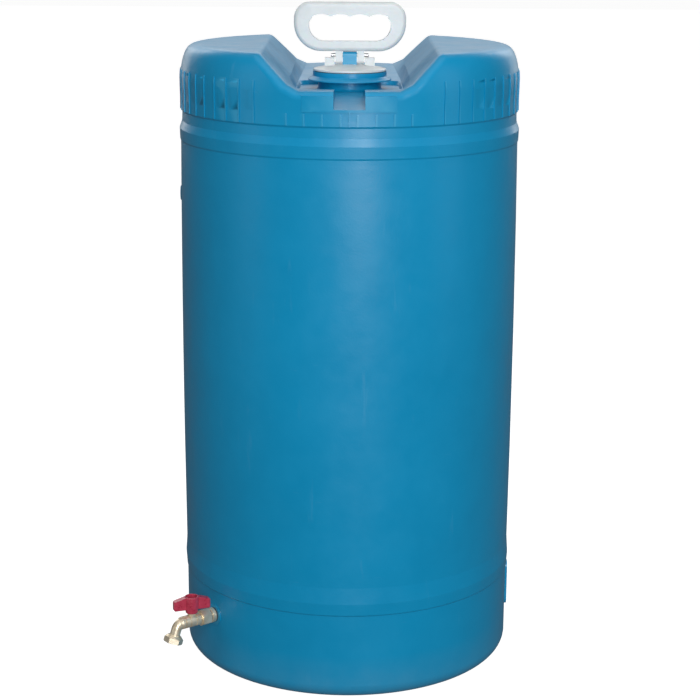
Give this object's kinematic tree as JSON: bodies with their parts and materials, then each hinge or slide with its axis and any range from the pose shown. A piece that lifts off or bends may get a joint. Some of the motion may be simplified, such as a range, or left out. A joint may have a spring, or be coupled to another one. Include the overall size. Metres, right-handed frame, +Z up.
{
  "type": "rain barrel",
  "caption": "Closed-head plastic drum used as a rain barrel, with ribbed ears, saddle channel, threaded plug with folding carry handle and a brass ball-valve spigot.",
  "frame": {"origin": "centre of the drum's base, on the floor, on the drum's own axis", "axes": "+Z up the drum's axis, -Y towards the side with the notch in the lip, the saddle channel runs along Y, the spigot points out at 217.5 degrees about Z"},
  "size_m": [0.3846, 0.3704, 0.7281],
  "materials": {
    "blue_hdpe": "blow-moulded polyethylene, satin, faint mottling",
    "natural_hdpe": "natural polyethylene, milky and slightly see-through",
    "rubber": "black rubber",
    "steel": "plain zinc-plated steel",
    "brass": "pale cast brass, lightly tumbled",
    "ptfe": "white PTFE",
    "plated_ball": "plated ball",
    "red_lever": "red enamel"
  },
  "bodies": {
    "drum": {"drum_shell": "blue_hdpe", "inlet_bushing": "brass", "wall_gasket_outer": "rubber", "wall_gasket_inner": "rubber", "lock_nut": "brass", "nipple_o_ring": "rubber", "valve_body": "brass", "seat_retainer": "brass", "seat_ring_inlet": "ptfe", "seat_ring_outlet": "ptfe", "packing_nut": "brass", "hose_collar": "brass", "outlet_washer": "rubber"},
    "closure_seal": {"closure_gasket": "rubber"},
    "closure": {"closure_plug": "natural_hdpe", "hinge_block": "blue_hdpe"},
    "handle": {"carry_handle": "natural_hdpe", "handle_pin": "steel"},
    "lever": {"tee_handle": "red_lever", "valve_stem": "brass", "valve_ball": "plated_ball", "stem_o_rings": "rubber", "lever_washer": "steel", "lever_nut": "steel"}
  },
  "joints": [
    {"name": "closure_lift", "type": "slide", "parent": "drum", "child": "closure_seal", "axis": [0, 0, 1], "range_m": [0, 0.018]},
    {"name": "closure_unscrew", "type": "hinge", "parent": "closure_seal", "child": "closure", "pos_m": [0, 0, 0.6543], "axis": [0, 0, 1], "range_deg": [0, 1530]},
    {"name": "handle_fold", "type": "hinge", "parent": "closure", "child": "handle", "pos_m": [0, 0, 0.6712], "axis": [1, 0, 0], "range_deg": [-90, 90]},
    {"name": "valve_turn", "type": "hinge", "parent": "drum", "child": "lever", "pos_m": [-0.1689, -0.1296, 0.0685], "axis": [0, 0, 1], "range_deg": [-72, 18]}
  ],
  "couplings": [
    {"joint": "closure_lift", "follows": "closure_unscrew", "m_per_rad": 0.00063662}
  ]
}
